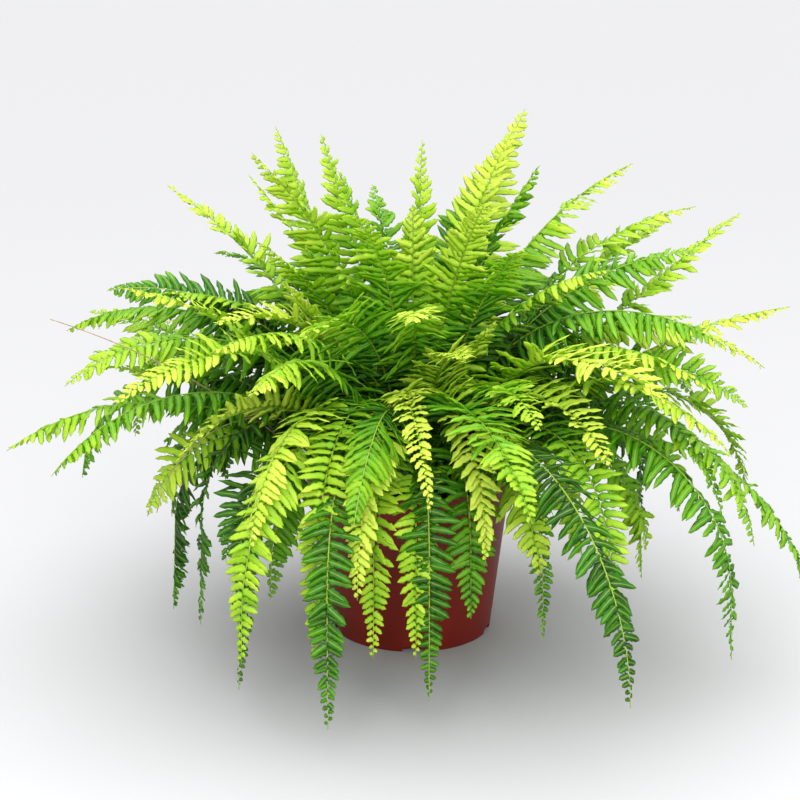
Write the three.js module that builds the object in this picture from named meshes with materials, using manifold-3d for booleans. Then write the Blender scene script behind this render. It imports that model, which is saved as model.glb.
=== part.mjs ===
// A potted fern: a sword fern with long arching fronds in a round terracotta-coloured plastic pot.
// Millimetres, +Z up. The origin is the centre of the pot's flat base, and -Y is the front.
import * as THREE from "three";
import { mergeVertices } from "three/addons/utils/BufferGeometryUtils.js";
import Module from "manifold-3d";

const wasm = await Module();
wasm.setup();

// Pot
const POT_HEIGHT = 115;
const BASE_RADIUS = 54.5;
const BASE_EDGE = 1.2;
const BODY_RADIUS = 66;
const BODY_HEIGHT = 93;
const COLLAR_Z = 97;
const COLLAR_RADIUS = 71.5;
const RIM_RADIUS = 75;
const LIP = 4;
const RIM_EDGE = 1;
const WALL = 1.8;
const FLOOR = 2.4;
const POT_SIDES = 32;
const SLOT_COUNT = 5;
const SLOT_WIDTH = 14;
const SLOT_HEIGHT = 4.5;
const SLOT_DEPTH = 6;
const SLOT_SIDES = 4;
const CUT_MARGIN = 1; // how far a cut runs past the surface

// Soil
const SOIL_GAP = 0.5;
const SOIL_EDGE_Z = 103;
const SOIL_SHOULDER = { radius: 52, z: 105 };
const SOIL_CENTRE_Z = 106;

// Roots: the foot of each frond's stalk stands in a plain hole in the soil
const ROOT_REACH = 47;
const INNER_REACH = 5;
const UPRIGHT = 88; // launch angle of the innermost fronds
const LOWEST = 30; // launch angle of the outermost
const ROOT_SPACING = 7.5;
const ROOT_BOTTOM_Z = 95;
const SPREAD_ROUNDS = 60;
const HOLE_CLEARANCE = 0.4;

// Fronds
const STALK_Z = 107; // where a stalk leaves the soil and starts to lean
const SPAN = 300; // arc length over which a frond bends and sweeps by its stated angles
const BEND_POWER = 1.25;
const SWEEP_POWER = 1.5;
const STEEPEST = -87;
const STEPS = 60; // steps along a frond's curve
const STALK_SHARE = 0.3; // bare part of a frond
const STALK_PARTS = 1;
const STALK_HALF = { width: 1.3, depth: 1.1 };
const RIB_HALF = { width: 0.8, depth: 0.5 };
const TIP_HALF_WIDTH = 0.4;
const PITCH = 42; // from one pair of leaflets to the next
const FEWEST_PAIRS = 4;
const END_SHARE = 0.6; // the last leaflet, as a share of the pitch
const LEAF_HALF_DEPTH = 0.35;
const LEAF_FORWARD = 0.12; // how far a leaflet leans to the tip, as a share of its length
const LEAF_DROOP = 12; // degrees that leaflets droop from the blade's plane

// The leaflets' length along the blade, as a share of the frond's longest
const LEAF_FOOT = 0.3; // at the stalk
const LEAF_RISE = 2; // gain over the blade's length, up to the full length
const LEAF_LEAST = 0.12; // at the tip
const TAPER_POWER = 2.4;
const TAPER_ROUNDNESS = 0.9;

// The fronds that give the plant its outline, one by one:
// azimuth, launch angle, bend, length, sweep, roll, leaflet length.
// Azimuth 0 points to +X and 270 to the front. Angles are degrees, and lengths are millimetres.
const SHOWN = [
  [55, 75, 30, 270, -5, 30, 34],
  [40, 85, 40, 250, 0, 10, 30],
  [70, 90, 10, 230, 0, 60, 20],
  [140, 80, 20, 240, 0, 0, 26],
  [140, 75, 20, 250, 0, -10, 28],
  [175, 80, 45, 230, 5, 10, 28],
  [165, 70, 50, 250, 0, 0, 30],
  [185, 75, 110, 240, 10, -40, 32],
  [210, 65, 70, 240, 0, 0, 26],
  [170, 50, 70, 220, -10, -20, 26],
  [195, 55, 90, 210, -5, 0, 26],
  [185, 45, 80, 200, -20, 20, 26],
  [195, 45, 100, 250, 5, 0, 28],
  [225, 60, 150, 210, 15, 40, 22],
  [215, 70, 270, 270, 15, 30, 22],
  [240, 65, 210, 310, 5, 20, 20],
  [250, 60, 170, 300, -10, -10, 22],
  [260, 65, 190, 260, -5, 0, 24],
  [255, 70, 190, 320, 0, 0, 20],
  [255, 60, 190, 320, 15, 0, 20],
  [265, 65, 270, 250, -5, 0, 18],
  [270, 60, 280, 230, 0, 0, 18],
  [275, 65, 260, 280, -5, 10, 20],
  [280, 75, 210, 260, 15, 10, 24],
  [295, 60, 300, 220, 10, -10, 14],
  [290, 50, 120, 340, 10, 10, 25],
  [305, 65, 210, 270, -15, 10, 22],
  [320, 55, 160, 320, 5, 0, 24],
  [340, 40, 130, 300, 0, -10, 24],
  [330, 60, 160, 270, -15, -10, 24],
  [330, 65, 160, 270, -20, 0, 20],
  [350, 65, 150, 230, -5, 30, 28],
  [325, 80, 130, 270, 20, 0, 34],
  [5, 45, 50, 250, 5, 0, 24],
  [10, 50, 20, 260, 5, 0, 26],
  [25, 65, 60, 240, 0, 0, 26],
  [20, 75, 80, 270, -5, 0, 28],
  [30, 80, 70, 270, -10, 0, 28],
  [325, 85, 80, 190, 5, 0, 30],
  [270, 90, 10, 190, 0, 0, 28],
  [300, 70, 70, 160, 0, 0, 18],
  [300, 70, 120, 260, 20, 0, 34],
  [305, 65, 150, 230, -5, 0, 28],
  [290, 65, 180, 220, 20, 10, 26],
  [265, 75, 190, 240, 30, 20, 18],
  [280, 75, 130, 200, 0, 10, 26],
  [220, 80, 130, 220, 5, 0, 30],
  [220, 75, 70, 180, 30, -10, 30],
];

// The fronds between them, in tiers from the upright middle to the skirt that hangs over the rim
const TIERS = [
  { count: 7, launch: 86, bend: 60, length: 225 },
  { count: 13, launch: 80, bend: 100, length: 225 },
  { count: 15, launch: 72, bend: 120, length: 240 },
  { count: 13, launch: 62, bend: 150, length: 240 },
  { count: 12, launch: 64, bend: 270, length: 220 },
  { count: 12, launch: 58, bend: 250, length: 165 },
];
const TIER_LEAF = 28;
// How far a frond in a tier may differ from the others, either way
const SPREAD = { azimuth: 12, launch: 4, bend: 25, length: 30, sweep: 25, roll: 32, leaf: 4 };
const TRIES = 40; // draws to choose each of them from
const MARKS = [0.35, 0.5, 0.65, 0.8, 0.95]; // places along a frond's blade where it is compared
const NEAR = 25; // blades nearer than this crowd each other

// The runners, thin wiry stems with no leaves: azimuth, launch angle, bend, length, sweep
const RUNNERS = [
  [210, 45, 30, 240, -10],
  [220, 70, 250, 200, -25],
  [45, 45, 190, 225, 20],
];
const RUNNER_REACH = 55;
const RUNNER_PARTS = 14;
const RUNNER_HALF = { width: 0.6, depth: 0.6 };

const FINISH = {
  pot: { color: 0x8a2f1d, roughness: 0.55 },
  soil: { color: 0x2b1d13, roughness: 0.95 },
  frond: { color: 0x6fae1e, roughness: 0.5 },
  runner: { color: 0x8a6f3a, roughness: 0.6 },
};

const MERGE_DISTANCE = 1e-3; // corners closer than this are one
const JOIN_TOLERANCE = 0.1; // slivers thinner than this, where fronds join, are smoothed away
const SIDES = [[0, 3], [1, 2]]; // the right side's corners in a ring across a stem, and the left side's

const radians = THREE.MathUtils.degToRad;

// Seeded draws from 0 to 1
let seed = 136;
function draw() {
  seed = (seed * 16807) % 2147483647;
  return seed / 2147483647;
}

// The curve of a frond from its root: points with the frame of the blade there
function curveOf(frond) {
  const point = new THREE.Vector3(frond.root.x, frond.root.y, STALK_Z);
  const step = frond.length / STEPS;
  const curve = [];
  for (let i = 0; i <= STEPS; i++) {
    const share = (i * step) / SPAN;
    const heading = radians(frond.azimuth + frond.sweep * share ** SWEEP_POWER);
    const climb = radians(Math.max(STEEPEST, frond.launch - frond.bend * share ** BEND_POWER));
    const along = new THREE.Vector3(
      Math.cos(climb) * Math.cos(heading),
      Math.cos(climb) * Math.sin(heading),
      Math.sin(climb),
    );
    const level = new THREE.Vector3(-Math.sin(heading), Math.cos(heading), 0);
    const side = level.applyAxisAngle(along, radians(frond.roll));
    const up = new THREE.Vector3().crossVectors(along, side);
    curve.push({ point: point.clone(), along, side, up });
    point.addScaledVector(along, step);
  }
  return curve;
}

// Where a frond's root lies at first: the lower it launches, the further out
function rootOf(azimuth, launch) {
  const low = THREE.MathUtils.clamp((UPRIGHT - launch) / (UPRIGHT - LOWEST), 0, 1);
  return outFromMiddle(azimuth, INNER_REACH + (ROOT_REACH - INNER_REACH) * Math.sqrt(low));
}

// A point on the soil, from the middle
function outFromMiddle(azimuth, reach) {
  return new THREE.Vector2(reach * Math.cos(radians(azimuth)), reach * Math.sin(radians(azimuth)));
}

function runnerFrom([azimuth, launch, bend, length, sweep]) {
  return { azimuth, launch, bend, length, sweep, roll: 0, root: outFromMiddle(azimuth, RUNNER_REACH) };
}

function frondFrom([azimuth, launch, bend, length, sweep, roll, leaf]) {
  return { azimuth, launch, bend, length, sweep, roll, leaf, root: rootOf(azimuth, launch) };
}

// Points over a frond's blade, that tell how near another one comes
function marksOf(frond) {
  const curve = curveOf(frond);
  return MARKS.flatMap((share) => {
    const frame = curve[Math.round(share * STEPS)];
    const reach = frond.leaf * leafShare((share - STALK_SHARE) / (1 - STALK_SHARE));
    return [-reach, 0, reach].map((sideways) => beside(frame, sideways, 0));
  });
}

// How much a frond's blade comes near those of others
function crowding(marks, others) {
  let sum = 0;
  for (const a of marks) {
    for (const b of others) sum += Math.max(0, NEAR - a.distanceTo(b)) ** 2;
  }
  return sum;
}

// One frond of a tier, the clearest of several seeded draws
function tierFrond({ launch, bend, length }, azimuth, others) {
  const spread = (size) => size * (2 * draw() - 1);
  let best = null;
  for (let i = 0; i < TRIES; i++) {
    const frond = frondFrom([
      azimuth + spread(SPREAD.azimuth),
      launch + spread(SPREAD.launch),
      bend + spread(SPREAD.bend),
      length + spread(SPREAD.length),
      spread(SPREAD.sweep),
      spread(SPREAD.roll),
      TIER_LEAF + spread(SPREAD.leaf),
    ]);
    const marks = marksOf(frond);
    const crowd = crowding(marks, others);
    if (!best || crowd < best.crowd) best = { frond, marks, crowd };
  }
  return best;
}

// All fronds: those that show, and then the tiers, evenly round the plant but for the draws
function allFronds() {
  const fronds = SHOWN.map(frondFrom);
  const marks = fronds.flatMap(marksOf);
  TIERS.forEach((tier, number) => {
    for (let i = 0; i < tier.count; i++) {
      const azimuth = (360 / tier.count) * (i + (number % 2) / 2);
      const chosen = tierFrond(tier, azimuth, marks);
      fronds.push(chosen.frond);
      marks.push(...chosen.marks);
    }
  });
  return fronds;
}

// Pushes the roots apart until each has its own place in the soil
function placeRoots(fronds) {
  const roots = fronds.map((frond) => frond.root);
  for (let round = 0; round < SPREAD_ROUNDS; round++) {
    roots.forEach((a, i) =>
      roots.slice(i + 1).forEach((b) => {
        const apart = b.clone().sub(a);
        const short = ROOT_SPACING - apart.length();
        if (short <= 0) return;
        apart.setLength(short / 2);
        b.add(apart);
        a.sub(apart);
      }));
    for (const root of roots) root.clampLength(0, ROOT_REACH);
  }
}

// The foot of a frond's stalk, upright in the soil
function footOf(frond) {
  const heading = radians(frond.azimuth);
  const along = new THREE.Vector3(0, 0, 1);
  const level = new THREE.Vector3(-Math.sin(heading), Math.cos(heading), 0);
  const side = level.applyAxisAngle(along, radians(frond.roll));
  const up = new THREE.Vector3().crossVectors(along, side);
  return { point: new THREE.Vector3(frond.root.x, frond.root.y, ROOT_BOTTOM_Z), along, side, up };
}

// Turns a geometry into a solid, with shared corners merged and empty triangles left out
function solidOf(geometry) {
  const bare = new THREE.BufferGeometry().setAttribute("position", geometry.getAttribute("position"));
  if (geometry.index) bare.setIndex(geometry.index);
  const merged = mergeVertices(bare, MERGE_DISTANCE);
  const corners = merged.index.array;
  const kept = [];
  for (let i = 0; i < corners.length; i += 3) {
    const [a, b, c] = [corners[i], corners[i + 1], corners[i + 2]];
    if (a !== b && b !== c && c !== a) kept.push(a, b, c);
  }
  return new wasm.Manifold(
    new wasm.Mesh({
      numProp: 3,
      vertProperties: new Float32Array(merged.attributes.position.array),
      triVerts: new Uint32Array(kept),
    }),
  );
}

function geometryOf(solid) {
  const mesh = solid.getMesh();
  const geometry = new THREE.BufferGeometry();
  geometry.setAttribute("position", new THREE.BufferAttribute(mesh.vertProperties, 3));
  geometry.setIndex(new THREE.BufferAttribute(mesh.triVerts, 1));
  return geometry;
}

// A closed solid turned about Z from [radius, z] points that start and end on the axis
function turned(points) {
  const geometry = new THREE.LatheGeometry(points.map(([r, z]) => new THREE.Vector2(r, z)), POT_SIDES);
  return geometry.rotateX(Math.PI / 2);
}

// An upright prism on a ring of [x, y] points that run anticlockwise
function prism(ring, bottom, top) {
  const shape = new THREE.Shape(ring.map(([x, y]) => new THREE.Vector2(x, y)));
  const geometry = new THREE.ExtrudeGeometry(shape, { depth: top - bottom, bevelEnabled: false });
  return geometry.translate(0, 0, bottom);
}

// The leaflets' length at a share of the blade's length
function leafShare(u) {
  const taper = (1 - u ** TAPER_POWER) ** TAPER_ROUNDNESS;
  return Math.min(1, LEAF_FOOT + LEAF_RISE * u) * Math.max(LEAF_LEAST, taper);
}

// The frame of the blade at a share of a frond's length
function frameAt(curve, share) {
  const place = share * STEPS;
  const low = Math.min(STEPS - 1, Math.floor(place));
  return { ...curve[low], point: curve[low].point.clone().lerp(curve[low + 1].point, place - low) };
}

// A point beside a frame's own, so far to the side, up from the blade and on to the tip
function beside({ point, side, up, along }, sideways, upward, onward = 0) {
  const moved = point.clone().addScaledVector(side, sideways);
  return moved.addScaledVector(up, upward).addScaledVector(along, onward);
}

// A closed mesh in the making
class Shell {
  positions = [];
  triangles = [];

  corner(point) {
    return this.positions.push(point.x, point.y, point.z) / 3 - 1;
  }

  face(a, b, c, flip = false) {
    this.triangles.push(...(flip ? [a, c, b] : [a, b, c]));
  }

  // Four corners across a stem: right and left on top, left and right below
  ring(frame, { width, depth }) {
    const at = (across, high) => this.corner(beside(frame, across * width, high * depth));
    return [at(-1, 1), at(1, 1), at(1, -1), at(-1, -1)];
  }

  // The top and the underside between two rings
  rib(a, b) {
    this.face(a[0], b[0], b[1]);
    this.face(a[0], b[1], a[1]);
    this.face(a[3], b[2], b[3]);
    this.face(a[3], a[2], b[2]);
  }

  // A bare side between two rings, from top and lower corners
  wall(a, b, [top, low], flip) {
    this.face(a[top], a[low], b[low], flip);
    this.face(a[top], b[low], b[top], flip);
  }

  // A leaflet between two rings, out to a point
  leaflet(a, b, [top, low], tip, flip) {
    const high = this.corner(beside(tip, 0, LEAF_HALF_DEPTH));
    const deep = this.corner(beside(tip, 0, -LEAF_HALF_DEPTH));
    this.face(a[top], high, b[top], flip);
    this.face(a[low], b[low], deep, flip);
    this.face(a[top], a[low], high, flip);
    this.face(a[low], deep, high, flip);
    this.face(high, deep, b[low], flip);
    this.face(high, b[low], b[top], flip);
  }

  // The pointed end after the last ring
  end(last, tip) {
    const high = this.corner(beside(tip, 0, LEAF_HALF_DEPTH));
    const deep = this.corner(beside(tip, 0, -LEAF_HALF_DEPTH));
    this.face(last[0], high, last[1]);
    this.face(last[3], last[2], deep);
    this.face(last[0], last[3], deep);
    this.face(last[0], deep, high);
    this.face(last[1], high, deep);
    this.face(last[1], deep, last[2]);
  }

  solid() {
    const geometry = new THREE.BufferGeometry();
    geometry.setAttribute("position", new THREE.Float32BufferAttribute(this.positions, 3));
    geometry.setIndex(this.triangles);
    return solidOf(geometry);
  }
}

// A frond as one thin arched blade, with its leaflets cut to the rib and its stalk square in section
function frondSolid(frond) {
  const curve = curveOf(frond);
  const blade = 1 - STALK_SHARE;
  const pairs = Math.max(FEWEST_PAIRS, Math.round((frond.length * blade) / PITCH));
  const shell = new Shell();
  const rings = [shell.ring(footOf(frond), STALK_HALF)];
  const shares = [0];
  for (let i = 0; i < STALK_PARTS + pairs + 1; i++) {
    const pair = i - STALK_PARTS;
    const onStalk = (STALK_SHARE * i) / STALK_PARTS;
    const share = pair < 0 ? onStalk : STALK_SHARE + (blade * pair) / (pairs + END_SHARE);
    const thin = Math.min(1, i / STALK_PARTS);
    const rib = THREE.MathUtils.lerp(RIB_HALF.width, TIP_HALF_WIDTH, share);
    const width = THREE.MathUtils.lerp(STALK_HALF.width, rib, thin);
    const depth = THREE.MathUtils.lerp(STALK_HALF.depth, RIB_HALF.depth, thin);
    rings.push(shell.ring(frameAt(curve, share), { width, depth }));
    shares.push(share);
  }
  shell.face(rings[0][0], rings[0][1], rings[0][2]);
  shell.face(rings[0][0], rings[0][2], rings[0][3]);
  for (let i = 0; i + 1 < rings.length; i++) {
    const [a, b] = [rings[i], rings[i + 1]];
    shell.rib(a, b);
    const pair = i - STALK_PARTS - 1;
    if (pair < 0) {
      SIDES.forEach((side, k) => shell.wall(a, b, side, k === 1));
      continue;
    }
    const reach = frond.leaf * leafShare((pair + 0.5) / pairs);
    const out = reach * Math.cos(radians(LEAF_DROOP));
    const down = -reach * Math.sin(radians(LEAF_DROOP));
    const frame = frameAt(curve, (shares[i] + shares[i + 1]) / 2);
    SIDES.forEach((side, k) => {
      const point = beside(frame, k === 0 ? -out : out, down, LEAF_FORWARD * reach);
      shell.leaflet(a, b, side, { ...frame, point }, k === 1);
    });
  }
  shell.end(rings.at(-1), frameAt(curve, 1));
  return shell.solid();
}

// A runner: upright in the soil, and then an arch of one thickness
function runnerSolid(runner) {
  const curve = curveOf(runner);
  const shell = new Shell();
  const rings = [shell.ring(footOf(runner), RUNNER_HALF)];
  for (let i = 0; i < RUNNER_PARTS; i++) {
    rings.push(shell.ring(frameAt(curve, i / RUNNER_PARTS), RUNNER_HALF));
  }
  shell.face(rings[0][0], rings[0][1], rings[0][2]);
  shell.face(rings[0][0], rings[0][2], rings[0][3]);
  for (let i = 0; i + 1 < rings.length; i++) {
    shell.rib(rings[i], rings[i + 1]);
    SIDES.forEach((side, k) => shell.wall(rings[i], rings[i + 1], side, k === 1));
  }
  shell.end(rings.at(-1), frameAt(curve, 1));
  return shell.solid();
}

// The hole round the foot of a frond's stalk or a runner
function holeSolid(frond) {
  const { point, side, up } = footOf(frond);
  const [wide, deep] = [STALK_HALF.width + HOLE_CLEARANCE, STALK_HALF.depth + HOLE_CLEARANCE];
  const ring = [[-wide, deep], [-wide, -deep], [wide, -deep], [wide, deep]].map(([across, back]) => {
    const corner = point.clone().addScaledVector(side, across).addScaledVector(up, back);
    return [corner.x, corner.y];
  });
  return solidOf(prism(ring, ROOT_BOTTOM_Z - HOLE_CLEARANCE, STALK_Z));
}

// Groups the fronds that cross, and gives each frond the lowest number in its group
function groupsOf(fronds, solids) {
  const leader = fronds.map((_, i) => i);
  fronds.forEach((_, i) => {
    for (let j = i + 1; j < fronds.length; j++) {
      if (!solids[i].intersect(solids[j]).volume()) continue;
      const [low, high] = [leader[i], leader[j]].sort((p, q) => p - q);
      leader.forEach((value, k) => {
        if (value === high) leader[k] = low;
      });
    }
  });
  return leader;
}

// The pot: tapered body, collar with a thicker lip, flat base with drainage slots at its edge
function potSolid() {
  const profile = [
    [0, 0],
    [BASE_RADIUS - BASE_EDGE, 0],
    [BASE_RADIUS, BASE_EDGE],
    [BODY_RADIUS, BODY_HEIGHT],
    [COLLAR_RADIUS, COLLAR_Z],
    [RIM_RADIUS - RIM_EDGE, POT_HEIGHT - LIP],
    [RIM_RADIUS, POT_HEIGHT - LIP],
    [RIM_RADIUS, POT_HEIGHT - RIM_EDGE],
    [RIM_RADIUS - RIM_EDGE, POT_HEIGHT],
    [RIM_RADIUS - WALL, POT_HEIGHT],
    [COLLAR_RADIUS - WALL, COLLAR_Z + WALL],
    [BODY_RADIUS - WALL, BODY_HEIGHT + WALL],
    [BASE_RADIUS - WALL, FLOOR],
    [0, FLOOR],
  ];
  const arch = new THREE.Shape();
  arch.moveTo(-SLOT_WIDTH / 2, -CUT_MARGIN);
  arch.lineTo(SLOT_WIDTH / 2, -CUT_MARGIN);
  arch.absellipse(0, SLOT_HEIGHT / 2, SLOT_WIDTH / 2, SLOT_HEIGHT / 2, 0, Math.PI, false);
  const depth = 2 * SLOT_DEPTH;
  let solid = solidOf(turned(profile));
  for (let i = 0; i < SLOT_COUNT; i++) {
    const slot = new THREE.ExtrudeGeometry(arch, { depth, bevelEnabled: false, curveSegments: SLOT_SIDES });
    slot.rotateX(Math.PI / 2).translate(0, SLOT_DEPTH - BASE_RADIUS, 0);
    solid = solid.subtract(solidOf(slot.rotateZ((i * 2 * Math.PI) / SLOT_COUNT)));
  }
  return solid;
}

// The soil: fills the pot with a small gap, domed on top, with a plain hole round each foot
function soilSolid(standing) {
  const profile = [
    [0, FLOOR + SOIL_GAP],
    [BASE_RADIUS - WALL - SOIL_GAP, FLOOR + SOIL_GAP],
    [BODY_RADIUS - WALL - SOIL_GAP, BODY_HEIGHT + WALL],
    [COLLAR_RADIUS - WALL - SOIL_GAP, COLLAR_Z + WALL + SOIL_GAP],
    [COLLAR_RADIUS - WALL, SOIL_EDGE_Z],
    [SOIL_SHOULDER.radius, SOIL_SHOULDER.z],
    [0, SOIL_CENTRE_Z],
  ];
  let solid = solidOf(turned(profile));
  for (const stem of standing) solid = solid.subtract(holeSolid(stem));
  return solid;
}

const plant = new THREE.Group();
function addPiece(name, solid, finish) {
  const material = new THREE.MeshStandardMaterial({ ...finish, metalness: 0 });
  const mesh = new THREE.Mesh(geometryOf(solid), material);
  mesh.name = name;
  plant.add(mesh);
}

const fronds = allFronds();
placeRoots(fronds);
const runners = RUNNERS.map(runnerFrom);
const solids = fronds.map(frondSolid);
const leader = groupsOf(fronds, solids);

addPiece("pot", potSolid(), FINISH.pot);
addPiece("soil", soilSolid([...fronds, ...runners]), FINISH.soil);
for (const first of new Set(leader)) {
  const group = solids.filter((_, i) => leader[i] === first);
  const name = (group.length > 1 ? "fronds_" : "frond_") + String(first).padStart(3, "0");
  const joined = group.reduce((whole, solid) => whole.add(solid));
  addPiece(name, joined.asOriginal().simplify(JOIN_TOLERANCE), FINISH.frond);
}
runners.forEach((runner, i) => addPiece("runner_" + (i + 1), runnerSolid(runner), FINISH.runner));

export default plant;
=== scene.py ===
import math

import bpy
import numpy as np
from mathutils import Matrix, Vector
from mathutils.kdtree import KDTree


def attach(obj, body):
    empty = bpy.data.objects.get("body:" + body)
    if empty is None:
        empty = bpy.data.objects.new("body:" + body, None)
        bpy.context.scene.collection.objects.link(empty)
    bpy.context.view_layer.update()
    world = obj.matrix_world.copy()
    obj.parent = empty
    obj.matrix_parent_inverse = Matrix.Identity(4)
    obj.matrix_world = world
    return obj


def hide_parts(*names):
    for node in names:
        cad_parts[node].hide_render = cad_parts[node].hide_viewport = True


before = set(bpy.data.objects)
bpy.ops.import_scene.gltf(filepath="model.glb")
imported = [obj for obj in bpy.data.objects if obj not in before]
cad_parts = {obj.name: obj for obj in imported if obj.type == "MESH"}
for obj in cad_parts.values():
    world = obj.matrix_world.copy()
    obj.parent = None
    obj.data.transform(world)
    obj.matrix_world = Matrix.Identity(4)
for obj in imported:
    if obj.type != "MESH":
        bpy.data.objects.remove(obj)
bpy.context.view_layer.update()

MM = 0.001


def srgb(red, green, blue):
    """A colour given as 0 to 255 display values."""
    def linear(value):
        value /= 255
        return value / 12.92 if value <= 0.04045 else ((value + 0.055) / 1.055) ** 2.4
    return (linear(red), linear(green), linear(blue), 1.0)


# Pot
POT_HEIGHT = 115.0
BASE_RADIUS = 54.5
BASE_RING = 6.0  # the pot stands on a ring of this width
BASE_SLOPE = 1.0
BASE_LIFT = 0.8  # from the ground to the base inside the ring
BODY_RADIUS = 66.0
BODY_HEIGHT = 93.0
COLLAR_Z = 97.0
COLLAR_RADIUS = 71.5
RIM_RADIUS = 75.0
LIP = 4.0
LIP_STEP = 1.2  # how far the lip stands out from the collar
LIP_SLOPE = 0.2
WALL = 1.8
FLOOR = 2.4
EDGE_RADIUS = 1.1
EDGE_STEPS = 3
SIDE_PART = 2.1  # a rounded corner takes at most one part in so many of a side
SHARP_FROM = 35  # degrees
POT_SEGMENTS = 144
SLOT_COUNT = 5
SLOT_WIDTH = 14.0
SLOT_HEIGHT = 4.5
SLOT_DEPTH = 6.0
SLOT_STEPS = 12
CUT_MARGIN = 1.0  # how far a cut runs past the surface

# Soil
SOIL_GAP = 0.5
SOIL_EDGE_GAP = 0.2
SOIL_EDGE_Z = 103.0
SOIL_SHOULDER = (52.0, 105.0)
SOIL_CENTRE_Z = 106.0
SOIL_RINGS = 26
SOIL_SEGMENTS = 96
SOIL_SEED = 5
SOIL_RELIEF = (-1.1, 0.9)
SOIL_TOP_FROM = SOIL_EDGE_Z - 0.1
CRUMB_COUNT = 500
CRUMB_REACH = 66.0
CRUMB_SIZE = (0.8, 2.4)
CRUMB_STRETCH = (0.5, 1.3)
CRUMB_FACES = ((0, 2, 4), (2, 1, 4), (1, 3, 4), (3, 0, 4), (2, 0, 5), (1, 2, 5), (3, 1, 5), (0, 3, 5))

# Roots
ROOT_REACH = 47.0
INNER_REACH = 5.0
UPRIGHT = 88.0  # launch angle of the innermost fronds
LOWEST = 30.0  # launch angle of the outermost
ROOT_SPACING = 7.5
ROOT_BOTTOM_Z = 95.0
SPREAD_ROUNDS = 60

# Fronds
STALK_Z = 107.0  # where a stalk leaves the soil and starts to lean
SPAN = 300.0  # arc length over which a frond bends and sweeps by its stated angles
BEND_POWER = 1.25
SWEEP_POWER = 1.5
STEEPEST = -87.0
STEPS = 60
STALK_SHARE = 0.3  # bare part of a frond in the solids
STALK_HALF = (1.3, 1.1)  # half a stem's width and depth
RIB_HALF = (0.8, 0.5)
TIP_HALF = 0.25
# The leaflets' length as a share of the frond's longest: at the stalk, its gain along the blade, at the tip
LEAF_FOOT = 0.3
LEAF_RISE = 2.0
LEAF_LEAST = 0.12
TAPER_POWER = 2.4
TAPER_ROUNDNESS = 0.9
STEM_STEPS = 36
STEM_SIDES = 6
LEAF_SEED = 1000  # of the first frond's leaflets
TIP_TOLERANCE = 0.5  # from a frond's tip to the solid that it replaces

# The fronds that give the plant its outline, one by one: azimuth, launch angle, bend, length,
# sweep, roll, leaflet length, and tone from 0 (dark) to 1 (yellow-green)
SHOWN = (
    (55, 75, 30, 270, -5, 30, 34, 0.8),
    (40, 85, 40, 250, 0, 10, 30, 0.8),
    (70, 90, 10, 230, 0, 60, 20, 0.6),
    (140, 80, 20, 240, 0, 0, 26, 0.6),
    (140, 75, 20, 250, 0, -10, 28, 0.6),
    (175, 80, 45, 230, 5, 10, 28, 0.6),
    (165, 70, 50, 250, 0, 0, 30, 0.7),
    (185, 75, 110, 240, 10, -40, 32, 0.1),
    (210, 65, 70, 240, 0, 0, 26, 0.7),
    (170, 50, 70, 220, -10, -20, 26, 0.5),
    (195, 55, 90, 210, -5, 0, 26, 0.4),
    (185, 45, 80, 200, -20, 20, 26, 0.5),
    (195, 45, 100, 250, 5, 0, 28, 0.5),
    (225, 60, 150, 210, 15, 40, 22, 1),
    (215, 70, 270, 270, 15, 30, 22, 0.3),
    (240, 65, 210, 310, 5, 20, 20, 0.1),
    (250, 60, 170, 300, -10, -10, 22, 0.7),
    (260, 65, 190, 260, -5, 0, 24, 0.9),
    (255, 70, 190, 320, 0, 0, 20, 0.7),
    (255, 60, 190, 320, 15, 0, 20, 0.3),
    (265, 65, 270, 250, -5, 0, 18, 0.8),
    (270, 60, 280, 230, 0, 0, 18, 0.8),
    (275, 65, 260, 280, -5, 10, 20, 0.3),
    (280, 75, 210, 260, 15, 10, 24, 1),
    (295, 60, 300, 220, 10, -10, 14, 0.4),
    (290, 50, 120, 340, 10, 10, 25, 0.1),
    (305, 65, 210, 270, -15, 10, 22, 0.6),
    (320, 55, 160, 320, 5, 0, 24, 0.4),
    (340, 40, 130, 300, 0, -10, 24, 0.6),
    (330, 60, 160, 270, -15, -10, 24, 0.5),
    (330, 65, 160, 270, -20, 0, 20, 0.3),
    (350, 65, 150, 230, -5, 30, 28, 0.4),
    (325, 80, 130, 270, 20, 0, 34, 0.3),
    (5, 45, 50, 250, 5, 0, 24, 0.8),
    (10, 50, 20, 260, 5, 0, 26, 0.6),
    (25, 65, 60, 240, 0, 0, 26, 0.5),
    (20, 75, 80, 270, -5, 0, 28, 0.6),
    (30, 80, 70, 270, -10, 0, 28, 0.6),
    (325, 85, 80, 190, 5, 0, 30, 0.8),
    (270, 90, 10, 190, 0, 0, 28, 0.7),
    (300, 70, 70, 160, 0, 0, 18, 0.8),
    (300, 70, 120, 260, 20, 0, 34, 0.9),
    (305, 65, 150, 230, -5, 0, 28, 0.8),
    (290, 65, 180, 220, 20, 10, 26, 0.6),
    (265, 75, 190, 240, 30, 20, 18, 1),
    (280, 75, 130, 200, 0, 10, 26, 1),
    (220, 80, 130, 220, 5, 0, 30, 1),
    (220, 75, 70, 180, 30, -10, 30, 0.9),
)

# The fronds between them, in tiers from the middle to the skirt over the rim: count, launch, bend, length
TIERS = (
    (7, 86, 60, 225),
    (13, 80, 100, 225),
    (15, 72, 120, 240),
    (13, 62, 150, 240),
    (12, 64, 270, 220),
    (12, 58, 250, 165),
)
TIER_LEAF = 28.0
TIER_TONE = 0.5
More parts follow.
